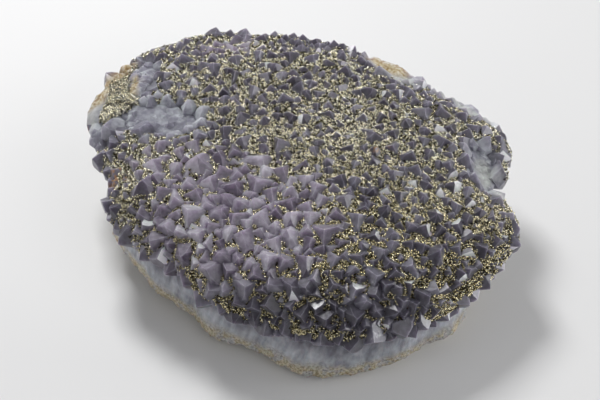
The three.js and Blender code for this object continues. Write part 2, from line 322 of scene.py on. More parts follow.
# Points that stand out on the plate: x, y and the distance from axis to prism face
STANDING_OUT = [
    (-24, 27, 4.9), (-40, 33, 4), (-10, 29, 3.9), (-28, 45, 3.5), (-46, 24, 3.2), (-13, 21, 3.1),
    (0, 34, 3.4), (-27, 6, 2.9), (-1, 10, 3.3), (-56, 45, 2.4), (-18, 54, 3), (-41, 5, 5.6),
    (-68, 18, 3.6), (16, 44, 4.1), (15, 24, 4.1), (37, 46, 4.2), (37, 13, 4.6), (11, 34, 4.2),
    (45, 18, 2.8), (40, 5, 3), (66, 33, 4.4), (50, 23, 4), (19, 11, 5), (-62, -5, 5.3),
    (-38, -9, 3.2), (-12, -11, 4.4), (-40, -28, 4.5), (-31, -33, 3.3), (-17, -37, 3.5), (-4, -32, 5.2),
    (2, -43, 5), (-66, -12, 4.4), (-45, -32, 5), (-34, -41, 5), (52, -21, 5.5), (69, -16, 5),
    (35, -30, 4.2), (41, -42, 5.2), (51, -36, 6), (60, -39, 4.8), (12, -50, 4.1), (20, -52, 4.3),
    (30, -38, 5), (10, -30, 6), (36, -50, 4.4), (49, -47, 4.6), (82, -12, 4.4), (83, -21, 4),
    (73, -28, 4.2),
]

# The noise that the materials read: its features per metre, and its detail
NOISES = {
    "cloud": (420, 5),
    "veils": (150, 2),
    "grain": (700, 4),
    "pits": (900, 4),
    "streaks": (420, 4),
    "patches": (70, 3),
    "flecks": (240, 4),
    "grit": (1100, 4),
}

# Colours for the materials, from darker to lighter, each at its place on the noise
COLOURS = {
    # The near-white last stop of grey and violet is reached mostly by the faces painted as glints
    "grey": [
        (0.26, (0.045, 0.041, 0.057)), (0.47, (0.084, 0.079, 0.103)), (0.8, (0.2, 0.195, 0.24)),
        (0.97, (0.88, 0.88, 0.94)),
    ],
    "violet": [
        (0.28, (0.13, 0.11, 0.152)), (0.46, (0.25, 0.218, 0.278)), (0.74, (0.46, 0.435, 0.5)),
        (0.97, (0.88, 0.88, 0.94)),
    ],
    "milky": [(0.34, (0.135, 0.13, 0.172)), (0.48, (0.235, 0.235, 0.283)), (0.62, (0.46, 0.48, 0.52))],
    "cream": [(0.35, (0.3, 0.31, 0.31)), (0.65, (0.6, 0.62, 0.6))],
    "tan": [(0.35, (0.26, 0.17, 0.065)), (0.5, (0.45, 0.37, 0.22)), (0.65, (0.62, 0.58, 0.45))],
    "side under the points": [(0.38, (0.09, 0.085, 0.11)), (0.62, (0.27, 0.265, 0.31))],
    "pale side": [(0.38, (0.2, 0.205, 0.24)), (0.5, (0.35, 0.365, 0.4)), (0.62, (0.52, 0.54, 0.575))],
    "tan foot": [(0.35, (0.24, 0.19, 0.1)), (0.65, (0.58, 0.53, 0.4))],
    "grey foot": [(0.35, (0.2, 0.19, 0.19)), (0.65, (0.5, 0.49, 0.48))],
    # Painted shade, in part: grains take a random tone, and the darkest, near black, stand in for shade in
    # the gaps
    "pyrite": [
        (0, (0.015, 0.013, 0.006)), (0.42, (0.1, 0.085, 0.042)), (0.55, (0.96, 0.91, 0.68)),
        (1, (1, 1, 0.95)),
    ],
}

# The stage: the floor's size in metres and its colour, the sky's colour and strength, and the lights. A light
# has a name, a place, a width and height in metres and its power in watts. All look at the plate's middle
FLOOR_SIZE = 6
FLOOR_COLOUR = (0.72, 0.72, 0.72)
SKY_COLOUR = (0.9, 0.9, 0.92, 1)
SKY_STRENGTH = 0.3
LIGHTS = [
    ("key", (-0.2, 0.42, 0.62), (0.22, 0.22), 4.6),
    ("fill", (0.45, -0.4, 0.5), (0.5, 0.4), 0.98),
    ("left", (-0.6, -0.2, 0.16), (0.3, 0.2), 0.65),
    ("right", (0.62, 0.02, 0.15), (0.3, 0.2), 1.6),
]
LIT_SPOT = (0, 0, 0.03)


def smooth(t):
    """A soft step of a number from 0 to 1."""
    return t * t * (3 - 2 * t)


def between(a, b, t):
    return a + (b - a) * t


def chance(i, k):
    """A number from 0 to 1 that looks random and is the same each time, for item i and purpose k."""
    s = np.sin(np.asarray(i, float) * 12.9898 + k * 78.233) * 43758.5453
    return s - np.floor(s)


def lattice(cell, seed):
    """A random number from 0 to 1 for each whole-number cell, given as an array of rows."""
    mixed = cell @ np.array([127.1, 311.7, 74.7])[: cell.shape[-1]] + seed * 19.19
    s = np.sin(mixed) * 43758.5453
    return s - np.floor(s)


def noise(points, size, seed):
    """Smooth noise from 0 to 1 over points, an array of rows, with features of about that size."""
    scaled = points / size
    low = np.floor(scaled)
    part = smooth(scaled - low)
    total = 0
    for corner in np.ndindex(*(2,) * points.shape[-1]):
        weight = np.prod(np.where(np.array(corner) == 1, part, 1 - part), axis=-1)
        total = total + weight * lattice(low + np.array(corner), seed)
    return total


def waves(points, widths, seed, finer):
    """Noise about zero with two widths, of which the finer one counts for a share."""
    coarse = noise(points, widths[0], seed) - 0.5
    return coarse + finer * (noise(points, widths[1], seed + 1) - 0.5)


class Outline:
    """A closed outline round the origin, with a height at each spot."""

    def __init__(self, spots):
        rows = np.array([(*spot, 0)[:3] for spot in spots], float)
        starts = np.arctan2(rows[:, 1], rows[:, 0])
        order = np.argsort(starts)
        self.rows = rows[order]
        self.starts = starts[order]

    def reach(self, angle):
        """How far the outline reaches in a direction, and its height there."""
        full = 2 * math.pi
        angle = (np.asarray(angle, float) + math.pi) % full - math.pi
        i = np.searchsorted(self.starts, angle, side="right") - 1
        j = (i + 1) % len(self.starts)
        a = self.rows[i]
        b = self.rows[j]
        span = (self.starts[j] - self.starts[i]) % full
        along = (angle - self.starts[i]) % full
        slant = (b[..., 1] - a[..., 1]) * np.cos(angle) - (b[..., 0] - a[..., 0]) * np.sin(angle)
        distance = (a[..., 0] * b[..., 1] - b[..., 0] * a[..., 1]) / slant
        return distance, between(a[..., 2], b[..., 2], along / span)


rim_outline = Outline(RIM)
lower_outline = Outline(LOWER_EDGE)


def inside_of(place, x, y):
    """How deep a spot lies in an oval: 1 at its centre, 0 at its edge, less outside."""
    centre_x, centre_y, along, across, turn = place[:5]
    c = math.cos(math.radians(turn))
    s = math.sin(math.radians(turn))
    u = (x - centre_x) * c + (y - centre_y) * s
    v = (y - centre_y) * c - (x - centre_x) * s
    return 1 - np.hypot(u / along, v / across)


def share_in(place, x, y, sharpness, reach=0.4):
    """How much a spot belongs to an oval: 1 well inside, 0 outside."""
    return smooth(np.clip(inside_of(place, x, y) * sharpness + reach, 0, 1))


def tip_height(x, y):
    angle = np.arctan2(y, x)
    share = np.hypot(x, y) / rim_outline.reach(angle)[0]
    rolled = np.maximum(0, (share - EDGE_START) / (1 - EDGE_START))
    drop = (EDGE_DROP - FRONT_DROP * np.sin(angle)) * rolled * rolled
    front = np.minimum(y, 0)
    return CREST_HEIGHT + BACK_RISE * y - SIDE_FALL * x * x - FRONT_FALL * front * front - drop


def bed_height(x, y):
    height = tip_height(x, y) - BED_DEPTH
    for place in BARE_PLACES.values():
        height = height + place[5] * share_in(place, x, y, BED_SHARPNESS)
    return height


def slab_point(angle, v):
    """A spot on the slab: v runs 0 to 1 over the bed, to 2 down the side, to 3 under to the flat foot."""
    angle = np.asarray(angle, float)
    v = np.asarray(v, float)
    rim = rim_outline.reach(angle)[0]
    low, low_height = lower_outline.reach(angle)
    c = np.cos(angle)
    s = np.sin(angle)
    side = np.clip(v - 1, 0, 1)
    bend = np.where(low < rim, UNDERCUT_BEND, 1.0)
    bed = np.minimum(v, 1)
    top = bed_height(rim * bed * c, rim * bed * s)
    side_distance = between(rim, low, np.power(side, bend))
    side_height = between(bed_height(rim * c, rim * s), low_height, side)
    under = np.clip(v - 2, 0, 1)
    under_distance = low - (FOOT_INSET + FOOT_SLOPE * low_height) * under
    distance = np.where(v <= 1, rim * v, np.where(v <= 2, side_distance, under_distance))
    height = np.where(v <= 1, top, np.where(v <= 2, side_height, low_height * (1 - under)))
    return np.stack([distance * c, distance * s, height], axis=-1)


def slab_normal(angle, v):
    step = 0.02
    outward = slab_point(angle, v + step) - slab_point(angle, v - step)
    round_it = slab_point(angle + step, v) - slab_point(angle - step, v)
    normal = np.cross(outward, round_it)
    return normal / np.linalg.norm(normal, axis=-1, keepdims=True)


def share_of(stain, x, y):
    """How much a spot has of a stain."""
    return np.maximum.reduce([share_in(place, x, y, STAIN_SHARPNESS) for place in STAINS[stain]])


def lowest_point(angle):
    """How far down the side points still grow."""
    towards_right = np.maximum(0, np.cos(angle + LOWEST_POINTS["right_turn"]))
    towards_front = np.maximum(0, -np.sin(angle))
    right = LOWEST_POINTS["right"] * towards_right**6
    return LOWEST_POINTS["start"] + right + LOWEST_POINTS["front"] * towards_front


def point_at(angle, v, size, number, kind="solid"):
    """The quartz point that grows at a spot of the slab: one of the solid model's, a small one or a lump."""
    axis = slab_normal(angle, v)
    axis[0] += (chance(number, 5) - 0.5) * LEAN
    axis[1] += (chance(number, 6) - 0.5) * LEAN
    base = slab_point(angle, v)
    steep = FACE_SLOPE * (LUMP_STEEP if kind == "lump" else 1)
    violet = share_of("violet", base[0], base[1])
    return {
        "base": base,
        "axis": axis / np.linalg.norm(axis),
        "spin": chance(number, 7) * 2 * math.pi,
        "size": size,
        "tall": steep * size * between(*TALL[kind], chance(number, 8)),
        "steep": steep,
        "half": size if kind == "lump" else size * between(*POINT_WIDTH, violet),
        "sides": 3 if v < THREE_FACED_WITHIN else 6,
        "flat": between(*FLATTENED, chance(number, 10)),
        "number": number,
    }


def size_at(angle, v, size):
    """A point's size where it grows: smaller along the back rim."""
    on_back_rim = (v > BACK_RIM["from"]) & (np.sin(angle) > BACK_RIM["turned"])
    return np.where(on_back_rim, size * BACK_RIM["share"], size)


def in_places(places, x, y):
    return np.any([inside_of(place, x, y) > 0 for place in places], axis=0)


def grow_points(points, sizes, closeness, first_number, kind="solid"):
    """Adds points of each size in turn wherever there is room, at spots that look random."""
    bases = np.array([p["base"] for p in points])
    spans = np.array([p["size"] for p in points])
    lumpy = [BARE_PLACES[name] for name in LUMPY_PLACES]
    for size, tries in sizes:
        numbers = first_number + 1 + np.arange(tries)
        first_number += tries
        angles = (chance(numbers, 1) * 2 - 1) * math.pi
        levels = np.sqrt(chance(numbers, 2)) * OUTERMOST
        spots = slab_point(angles, levels)
        grown = size_at(angles, levels, size)
        if kind == "lump":
            open_to_it = (levels <= 1) & in_places(lumpy, *spots.T[:2])
        else:
            open_to_it = (levels <= lowest_point(angles)) & ~in_places(BARE_PLACES.values(), *spots.T[:2])
        for i in np.nonzero(open_to_it)[0]:
            apart = np.linalg.norm(bases - spots[i], axis=1)
            if np.all(apart > closeness * (spans + grown[i]) / 2):
                place = (float(angles[i]), float(levels[i]), float(grown[i]), int(numbers[i]))
                points.append(point_at(*place, kind))
                bases = np.vstack([bases, spots[i]])
                spans = np.append(spans, grown[i])
    return points


def all_points():
    """The points of the solid model in the same places, then small ones and lumps in the gaps."""
    points = []
    for x, y, size in STANDING_OUT:
        angle = math.atan2(y, x)
        v = math.hypot(x, y) / rim_outline.reach(angle)[0]
        points.append(point_at(angle, v, size, FIRST_STANDING_OUT + len(points)))
    sizes = [(LARGE_POINT, LARGE_TRIES), (MEDIUM_POINT, MEDIUM_TRIES)]
    points = grow_points(points, sizes, CLOSENESS, 0)
    # From here on a point counts with its real width, so that the small ones keep clear of it
    for point in points:
        point["size"] = point["half"]
    points = grow_points(points, FILL_SIZES, FILL_CLOSENESS, FILL_NUMBER, "small")
    return grow_points(points, LUMP_SIZES, LUMP_CLOSENESS, LUMP_NUMBER, "lump")


def planes_of(point):
    """The planes of a quartz point in its own frame: large and smaller end faces, a prism and a root."""
    n = point["number"]
    slope = math.atan(point["steep"])
    normals = []
    offsets = []
    for k in range(6):
        azimuth = math.radians(FIRST_FACE[point["sides"]] + 60 * k)
        side = (math.cos(azimuth), math.sin(azimuth))
        uneven = between(-UNEVEN_FACES, UNEVEN_FACES, chance(n, 30 + k))
        lifted = 0
        if k % 2 == 1:
            lifted = between(*SMALLER_FACES, chance(n, 20)) * point["steep"] * point["half"]
        normals.append((math.sin(slope) * side[0], math.sin(slope) * side[1], math.cos(slope)))
        offsets.append((point["tall"] * (1 + uneven) + lifted) * math.cos(slope))
        normals.append((side[0], side[1], 0))
        offsets.append(point["half"] * between(*UNEVEN_PRISM, chance(n, 40 + k)))
    normals.append((0, 0, -1))
    offsets.append(ROOT)
    return np.array(normals), np.array(offsets)


def polyhedron(normals, offsets):
    """Corners and faces of the closed form inside a set of planes, each face with the number of its plane."""
    triples = np.array(list(itertools.combinations(range(len(offsets)), 3)))
    matrices = normals[triples]
    solvable = np.abs(np.linalg.det(matrices)) > PARALLEL
    spots = np.linalg.solve(matrices[solvable], offsets[triples[solvable]][..., None])[..., 0]
    spots = spots[np.all(spots @ normals.T <= offsets + INSIDE, axis=1)]
    touching = np.abs(spots @ normals.T - offsets) < ON_PLANE
    near = np.linalg.norm(spots[:, None] - spots[None], axis=2) < CORNER_GAP
    first = np.argmax(near, axis=1)
    first = first[first]
    kept, group = np.unique(first, return_inverse=True)
    corners = spots[kept]
    faces = []
    for plane, normal in enumerate(normals):
        on_it = np.unique(group[touching[:, plane]])
        if len(on_it) < 3:
            continue
        middle = corners[on_it].mean(axis=0)
        across = corners[on_it[0]] - middle
        across /= np.linalg.norm(across)
        up = np.cross(normal, across)
        arm = corners[on_it] - middle
        turn = np.arctan2(arm @ up, arm @ across)
        faces.append((plane, [int(i) for i in on_it[np.argsort(turn)]]))
    return corners, faces


def is_closed(faces):
    """Whether each edge has one face on either side."""
    edges = [(a, b) for _, face in faces for a, b in zip(face, face[1:] + face[:1])]
    known = set(edges)
    return len(known) == len(edges) and all((b, a) in known for a, b in edges)


def turned(point):
    """Rotation of a quartz point: its own Z to its axis, after its spin."""
    spin = Quaternion((0, 0, 1), float(point["spin"]))
    return (Vector((0, 0, 1)).rotation_difference(Vector(point["axis"])) @ spin).to_matrix()


def point_mesh(point):
    """Corners and faces of a quartz point in the row frame, in millimetres."""
    corners, faces = polyhedron(*planes_of(point))
    corners = corners * np.array([point["flat"], 1 / point["flat"], 1])
    return corners @ np.array(turned(point)).T + point["base"], faces


def new_mesh(name, corners, faces, owners):
    """A mesh object from corners in millimetres, with a code for each face."""
    mesh = bpy.data.meshes.new(name)
    mesh.from_pydata((np.asarray(corners) * MM).tolist(), [], faces)
    mesh.attributes.new("owner", "INT", "FACE").data.foreach_set("value", owners)
    piece = bpy.data.objects.new(name, mesh)
    bpy.context.scene.collection.objects.link(piece)
    return piece


def side_relief(angle, v, spot):
    """How far the broken side stands out or in."""
    height = spot[..., 2]
    place = np.stack([angle * MEAN_RADIUS + COLUMN_SLANT * height, height * COLUMN_STRETCH], axis=-1)
    columns = waves(place, COLUMN_WIDTHS, 5, 0.6)
    dents = noise(spot, DENT_WIDTH, 7) - 0.5
    chips = np.maximum(0, noise(spot, CHIP_WIDTH, 8) - CHIP_RARENESS)
    band = np.exp(-(((height - lower_outline.reach(angle)[1]) / GRIT_BAND) ** 2))
    grit = (noise(spot, GRIT_WIDTH, 9) - 0.5) * band
    amount = np.clip((v - 1) * RELIEF_STARTS, 0, 1) * np.clip((3 - v) * RELIEF_FADES, 0, 1)
    return amount * (COLUMN_DEPTH * columns + DENT_DEPTH * dents - chips + grit * GRIT_DEPTH)


def bare_relief(x, y):
    """Low lumps on the quartz where no points stand."""
    lumps = waves(np.stack([x, y], axis=-1), BARE_LUMP_WIDTHS, 11, 0.5)
    relief = 0
    for place in BARE_PLACES.values():
        relief = relief + share_in(place, x, y, BARE_SHARPNESS, 0.6) * lumps * BARE_LUMPS
    return relief


def slab_mesh():
    """Corners and faces of the slab, fine and closed, with its relief, and how far down it each corner is."""
    bed = np.linspace(BED_START, 1, BED_RINGS)
    side = np.linspace(1, 2, SIDE_RINGS + 1)[1:]
    under = np.linspace(2, 3, UNDER_RINGS + 1)[1:]
    levels = np.concatenate([bed, side, under])
    angles = -math.pi + 2 * math.pi * np.arange(SLAB_STEPS) / SLAB_STEPS
    angle, v = np.meshgrid(angles, levels)
    spots = slab_point(angle, v)
    normals = slab_normal(angle, np.clip(v, *NORMAL_LEVELS))
    spots = spots + normals * side_relief(angle, v, spots)[..., None]
    spots[..., 2] += bare_relief(spots[..., 0], spots[..., 1]) * (v <= 1)
    spots[-1, :, 2] = 0
    spots[..., 2] = np.maximum(spots[..., 2], 0)
    middle = [0, 0, float(bed_height(0.0, 0.0))]
    corners = np.vstack([[middle], spots.reshape(-1, 3), [[0, 0, 0]]])
    faces = []
    last = 1 + (len(levels) - 1) * SLAB_STEPS
    for j in range(SLAB_STEPS):
        k = (j + 1) % SLAB_STEPS
        faces.append((0, 1 + j, 1 + k))
        for ring in range(1, last, SLAB_STEPS):
            below = ring + SLAB_STEPS
            faces.append((ring + j, below + j, below + k, ring + k))
        faces.append((last + j, len(corners) - 1, last + k))
    downs = np.concatenate([[0], v.reshape(-1), [3]])
    return corners, faces, downs


def kept_in_box(corners):
    """Corners in millimetres, none of them outside the solid model's box."""
    lowest, highest = (np.array(corner) / MM for corner in CAD_BOX)
    return np.clip(corners, lowest, highest)


def read(items, name, width=1, kind=np.float32):
    """A value of each item of a mesh, in rows where it is more than one number."""
    values = np.zeros(len(items) * width, kind)
    items.foreach_get(name, values)
    return values.reshape(-1, width) if width > 1 else values


def give(mesh, name, domain, values):
    """Gives a mesh a named value for its materials to read."""
    mesh.attributes.new(name, "FLOAT", domain).data.foreach_set("value", values)


def batches_of(built):
    """The numbers of the points, in batches in which none touch. A point that isn't closed is left out."""
    lows = np.array([corners.min(axis=0) for corners, _ in built]) - BATCH_ROOM
    highs = np.array([corners.max(axis=0) for corners, _ in built]) + BATCH_ROOM
    batches = []
    for i, (_, faces) in enumerate(built):
        if not is_closed(faces):
            continue
        for batch in batches:
            if not np.any(np.all((lows[batch] < highs[i]) & (highs[batch] > lows[i]), axis=1)):
                batch.append(i)
                break
        else:
            batches.append([i])
    return batches


def batch_mesh(name, batch, built):
    """The points of a batch as one mesh object."""
    corners = []
    faces = []
    owners = []
    for i in batch:
        faces += [[c + len(corners) for c in face] for _, face in built[i][1]]
        owners += [(i + 1) * OWNER_STEP + plane for plane, _ in built[i][1]]
        corners += built[i][0].tolist()
    return new_mesh(name, corners, faces, owners)


def join_points(slab, points):
    """Makes one closed surface of the slab and all its points."""
    built = [point_mesh(point) for point in points]
    helpers = []
    for number, batch in enumerate(batches_of(built)):
        helper = batch_mesh(f"batch{number}", batch, built)
        join = slab.modifiers.new(helper.name, "BOOLEAN")
        join.operation = "UNION"
        join.solver = "MANIFOLD"
        join.object = helper
        helpers.append(helper)
    graph = bpy.context.evaluated_depsgraph_get()
    joined = bpy.data.meshes.new_from_object(slab.evaluated_get(graph))
    slab.modifiers.clear()
    slab.data = joined
    inside = kept_in_box(read(joined.vertices, "co", 3) / MM) * MM
    joined.vertices.foreach_set("co", inside.astype(np.float32).ravel())
    for helper in helpers:
        bpy.data.objects.remove(helper)


def face_tones(mesh, points, codes):
    """How light each face is: random per point, a little per face, and almost white on a few as painted
    glints.
    """
    owners = codes // OWNER_STEP
    numbers = np.array([0] + [p["number"] for p in points])[owners]
    face_numbers = numbers * OWNER_STEP + codes % OWNER_STEP
    tones = between(chance(numbers, 50), chance(face_numbers, 51), FACE_TONE)
    areas = read(mesh.polygons, "area") / MM**2
    # Painted glints: a few mid-sized faces, not lumps, are made almost white
    pale = (chance(face_numbers, 52) < PAINTED_GLINT_SHARE) & (numbers < LUMP_NUMBER)
    pale &= (areas > PAINTED_GLINT_AREA[0]) & (areas < PAINTED_GLINT_AREA[1])
    return np.where(owners > 0, np.where(pale, PAINTED_GLINT_TONE, tones), BED_TONE)


def mark_quartz(piece, points, slab_corners, slab_downs):
    """Gives the quartz what its materials read, and each face its material.

    tone says how light a face is, bed is 1 between the points, and down is how far down the side a spot is.
    The stains say how violet, milky, cream, tan or rusty a spot is.
    """
    mesh = piece.data
    codes = read(mesh.attributes["owner"].data, "value", kind=np.int32)
    on_slab = codes < OWNER_STEP
    give(mesh, "tone", "FACE", face_tones(mesh, points, codes))
    give(mesh, "bed", "FACE", on_slab.astype(float))
    spots = read(mesh.vertices, "co", 3) / MM
    for stain in STAINS:
        give(mesh, stain, "POINT", share_of(stain, spots[:, 0], spots[:, 1]))
    near = KDTree(len(slab_corners))
    for i, corner in enumerate(slab_corners):
        near.insert(corner, i)
    near.balance()
    downs = np.array([slab_downs[near.find(spot)[1]] for spot in spots])
    give(mesh, "down", "POINT", downs)
    corners = read(mesh.loops, "vertex_index", kind=np.int32)
    starts = read(mesh.polygons, "loop_start", kind=np.int32)
    below_rim = np.maximum.reduceat(downs[corners], starts) > BELOW_RIM
    mesh.polygons.foreach_set("use_smooth", on_slab)
    mesh.polygons.foreach_set("material_index", np.where(on_slab & below_rim, 1, 0))
    mesh.update()


class Look:
    """A new material with a Principled shader, and short ways to add nodes to it."""

    def __init__(self, name):
        self.material = bpy.data.materials.new(name)
        self.material.use_nodes = True
        self.tree = self.material.node_tree
        self.principled = self.tree.nodes["Principled BSDF"]

    def feed(self, node, inputs):
        """Gives each named input of a node a constant, or another node's output."""
        for name, value in inputs.items():
            socket = node.inputs[name]
            if isinstance(value, bpy.types.NodeSocket):
                self.tree.links.new(value, socket)
            elif socket.type == "RGBA":
                socket.default_value = (*value, 1)
            else:
                socket.default_value = value

    def node(self, kind, inputs, **settings):
        """A new node with its inputs and settings."""
        node = self.tree.nodes.new(kind)
        for name, value in settings.items():
            setattr(node, name, value)
        self.feed(node, inputs)
        return node

    def value(self, name):
        """What the mesh says under a name."""
        return self.node("ShaderNodeAttribute", {}, attribute_name=name).outputs["Fac"]

    def place(self):
        """The spot on the object, in metres."""
        return self.node("ShaderNodeTexCoord", {}).outputs["Object"]

    def noise(self, name, stretch=(1, 1, 1), turn=(0, 0, 0)):
        """One of the noises, fixed to the object."""
        scale, detail = NOISES[name]
        sizes = [1 / part for part in stretch]
        turns = [math.radians(part) for part in turn]
        inputs = {"Vector": self.place(), "Scale": sizes, "Rotation": turns}
        mapping = self.node("ShaderNodeMapping", inputs, vector_type="TEXTURE")
        inputs = {"Vector": mapping.outputs["Vector"], "Scale": scale, "Detail": detail}
        return self.node("ShaderNodeTexNoise", inputs).outputs["Fac"]

    def colour(self, name, value):
        """One of the colours, lighter with a higher value."""
        stops = COLOURS[name]
        node = self.node("ShaderNodeValToRGB", {"Fac": value})
        while len(node.color_ramp.elements) < len(stops):
            node.color_ramp.elements.new(0.5)
        for element, (place, colour) in zip(node.color_ramp.elements, stops):
            element.position = place
            element.color = (*colour, 1)
        return node.outputs["Color"]

    def mix(self, amount, a, b, blend_type="MIX"):
        """Colour a, turning into b as amount goes to 1."""
        inputs = {"Factor": amount, 6: a, 7: b}
        return self.node("ShaderNodeMix", inputs, data_type="RGBA", blend_type=blend_type).outputs[2]

    def maths(self, operation, a, b):
        """A product, difference or the like of two values."""
        return self.node("ShaderNodeMath", {0: a, 1: b}, operation=operation).outputs["Value"]

    def total(self, *parts):
        """The sum of some values, each times its share."""
        *others, total = [self.maths("MULTIPLY", value, share) for value, share in parts]
        for product in reversed(others):
            total = self.maths("ADD", product, total)
        return total

    def share(self, value, start, end):
        """0 up to the start, 1 from the end on."""
        inputs = {"Value": value, "From Min": start, "From Max": end}
        return self.node("ShaderNodeMapRange", inputs, interpolation_type="SMOOTHSTEP").outputs["Result"]

    def bump(self, inputs):
        """Fine relief of the surface."""
        self.feed(self.principled, {"Normal": self.node("ShaderNodeBump", inputs).outputs["Normal"]})


def painted_edge_highlight(look, rounded_normal):
    """Painted edge highlight: how far the rounded normal turns from the face's own, near a crystal's edge."""
    own = look.node("ShaderNodeNewGeometry", {}).outputs["True Normal"]
    alike = look.node("ShaderNodeVectorMath", {0: rounded_normal, 1: own}, operation="DOT_PRODUCT").outputs["Value"]
    return look.maths("MULTIPLY", look.share(look.maths("SUBTRACT", 1.0, alike), *EDGE_HIGHLIGHT_TURN), EDGE_HIGHLIGHT_AMOUNT)


def points_material():
    """Grey or violet, glossy, a little translucent, and milky, cream, tan or rusty in places; painted shade
    and highlights.
    """
    look = Look("quartz_points")
    tone = look.value("tone")
    cloud = look.noise("cloud")
    cloudy = look.total((tone, 0.5), (cloud, 0.6))
    soft = look.total((tone, 0.25), (cloud, 0.35), (look.noise("veils"), 0.4))
    grain = look.noise("grain")
    rounded_normal = look.node("ShaderNodeBevel", {"Radius": EDGE_ROUNDING * MM}, samples=4).outputs["Normal"]
    colour = look.mix(look.value("violet"), look.colour("grey", cloudy), look.colour("violet", cloudy))
    # Painted shade: the bed between the points is mixed towards near black
    colour = look.mix(look.maths("MULTIPLY", look.value("bed"), BED_SHADE), colour, BED_SHADE_COLOUR)
    # Painted highlights: edges that would catch the light are mixed towards a lighter colour
    colour = look.mix(painted_edge_highlight(look, rounded_normal), colour, EDGE_HIGHLIGHT_COLOUR)
    for stain, value in (("milky", soft), ("cream", soft), ("tan", grain)):
        colour = look.mix(look.value(stain), colour, look.colour(stain, value))
    rusty = look.maths("MULTIPLY", look.value("rust"), look.share(grain, *RUSTY_SPECKS))
    dull = look.maths("MAXIMUM", look.value("milky"), look.value("bed"))
    rough = look.node("ShaderNodeMapRange", {"Value": dull, "To Min": 0.28, "To Max": 0.8})
    look.bump({"Height": look.noise("pits"), "Strength": 0.25, "Distance": 0.0003, "Normal": rounded_normal})
    look.feed(look.principled, {
        "Base Color": look.mix(rusty, colour, RUST_COLOUR),
        "Roughness": rough.outputs["Result"],
        "IOR": 1.54,
        "Transmission Weight": 0.2,
        "Subsurface Weight": 0.9,
        "Subsurface Radius": (1, 0.85, 1),
        "Subsurface Scale": 0.008,
    })
    return look.material


def side_material():
    """The broken side: violet under the points, then bluish white and streaked, and tan and gritty below."""
    look = Look("quartz_side")
    patches = look.noise("patches")
    flecks = look.noise("flecks")
    grit = look.noise("grit")
    streaks = look.noise("streaks", SIDE_STRETCH, SIDE_SLANT)
    mottled = look.total((streaks, 0.45), (patches, 0.3), (flecks, 0.25))
    wavy = look.total((look.value("down"), 1), (patches, 0.35))
    ragged = look.total((wavy, 1), (flecks, 0.3))
    shaded = look.colour("side under the points", mottled)
    colour = look.mix(look.share(wavy, *SIDE_PALE), shaded, look.colour("pale side", mottled))
    greyed = look.share(flecks, *FOOT_GREY)
    foot = look.mix(greyed, look.colour("tan foot", grit), look.colour("grey foot", grit))
    look.bump({"Height": grit, "Strength": 0.4, "Distance": 0.0004})
    look.feed(look.principled, {
        "Base Color": look.mix(look.share(ragged, *SIDE_FOOT), colour, foot),
        "Roughness": 0.45,
        "IOR": 1.54,
        "Subsurface Weight": 0.3,
        "Subsurface Scale": 0.002,
    })
    return look.material


def make_quartz():
    corners, faces, downs = slab_mesh()
    piece = new_mesh("quartz_plate", corners, faces, [0] * len(faces))
    points = all_points()
    join_points(piece, points)
    piece.data.materials.clear()
    mark_quartz(piece, points, corners, downs)
    piece.data.materials.append(points_material())
    piece.data.materials.append(side_material())
    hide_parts("quartz")
    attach(piece, ROOT_BODY)
    return piece


def pyrite_level(v, spot):
    """How high the pyrite fills the grooves at a spot, counted from the mean height of the quartz there."""
    x = spot[..., 0]
    y = spot[..., 1]
    level = PYRITE_LEVEL
    for i, (patch, depth) in enumerate(PYRITE_PATCHES):
        level = level + (noise(spot, patch, 21 + i) - 0.5) * depth
    for place in PYRITE_POOR:
        level = level - place[5] * share_in(place, x, y, PYRITE_SHARPNESS)
    for place in PYRITE_RICH:
        level = level + place[5] * share_in(place, x, y, PYRITE_SHARPNESS)
    past_rim = np.clip((v - PYRITE_EDGE) / PYRITE_EDGE_WIDTH, 0, 1)
    return np.minimum(level, PYRITE_HIGHEST) - past_rim * PYRITE_EDGE_DROP


def mean_nearby(spots, values):
    """The mean of the values round about each spot."""
    cells = tuple((np.floor((spots - spots.min(axis=0)) / NEIGHBOURHOOD).astype(int) + 1).T)
    shape = [int(rows.max()) + 2 for rows in cells]
    sums = np.zeros(shape)
    counts = np.zeros(shape)
    np.add.at(sums, cells, values)
    np.add.at(counts, cells, 1)
    for axis in range(3):
        sums = sums + np.roll(sums, 1, axis) + np.roll(sums, -1, axis)
        counts = counts + np.roll(counts, 1, axis) + np.roll(counts, -1, axis)
    return sums[cells] / counts[cells]


def pyrite_spots(surface):
    """Where the grains sit and how big each is."""
    draw = np.random.default_rng(PYRITE_SEED)
    tries = PYRITE_TRIES
    angle = draw.uniform(-math.pi, math.pi, tries)
    reach = rim_outline.reach(angle)[0]
    keep = draw.uniform(0, 1, tries) < (reach / reach.max()) ** 2
    angle = angle[keep]
    v = np.sqrt(draw.uniform(0, 1, len(angle))) * OUTERMOST
    spot = slab_point(angle, v)
    normal = slab_normal(angle, v)
    quartz = np.zeros(len(v))
    for i in range(len(v)):
        start = spot[i] + normal[i] * PROBE_HEIGHT
        distance = surface.ray_cast(Vector(start * MM), Vector(-normal[i]), PROBE_LENGTH * MM)[3]
        quartz[i] = PROBE_HEIGHT - (PROBE_LENGTH if distance is None else distance / MM)
    level = mean_nearby(spot, quartz) + pyrite_level(v, spot) + draw.normal(0, PYRITE_RAGGED, len(v))
    height = np.maximum(quartz, level - draw.uniform(0, PYRITE_LAYER, len(v)))
    covered = quartz < level
    spots = (spot + normal * height[:, None])[covered]
    return spots, draw.uniform(*GRAIN_SIZES, len(spots)), draw


def random_turns(draw, count):
    """Rotation matrices that point every way alike."""
    q = draw.normal(size=(count, 4))
    w, x, y, z = (q / np.linalg.norm(q, axis=1, keepdims=True)).T
    rows = [
        [1 - 2 * (y * y + z * z), 2 * (x * y - z * w), 2 * (x * z + y * w)],
        [2 * (x * y + z * w), 1 - 2 * (x * x + z * z), 2 * (y * z - x * w)],
        [2 * (x * z - y * w), 2 * (y * z + x * w), 1 - 2 * (x * x + y * y)],
    ]
    return np.array(rows).transpose(2, 0, 1)


